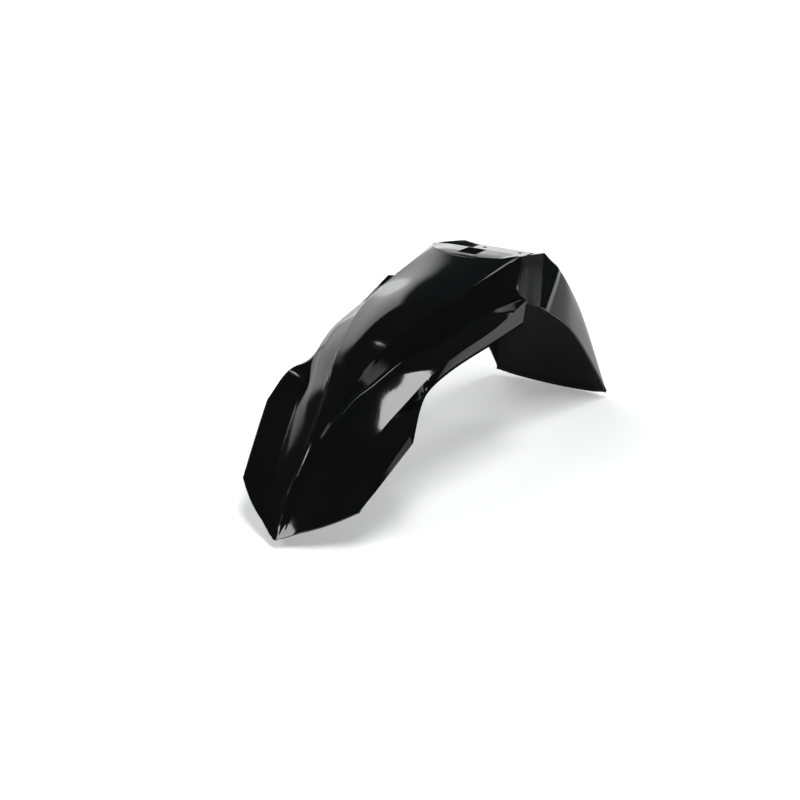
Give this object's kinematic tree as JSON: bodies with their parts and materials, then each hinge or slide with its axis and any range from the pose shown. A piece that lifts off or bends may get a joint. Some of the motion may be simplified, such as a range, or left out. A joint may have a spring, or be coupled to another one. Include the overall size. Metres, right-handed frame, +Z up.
{
  "type": "motorcycle front mudguard",
  "caption": "Moulded front mudguard for a motocross motorcycle, with a winged nose, a ridged crown, stepped flanks, a bolt-on deck seat and a trough-shaped rear skirt.",
  "frame": {"origin": "middle of the four bolt holes, on top of the deck seat that meets the underside of the fork yoke", "axes": "+Z up along the bolts, -Y forward to the nose tip, +X to the left of a rider; X = 0 is the plane of symmetry. The attitude is that of the part standing on its nose tip and the lower edge of its skirt."},
  "size_m": [0.236, 0.7245, 0.2812],
  "materials": {
    "body": "gloss black, injection moulded"
  },
  "bodies": {
    "root": {"mudguard": "body"}
  },
  "joints": []
}
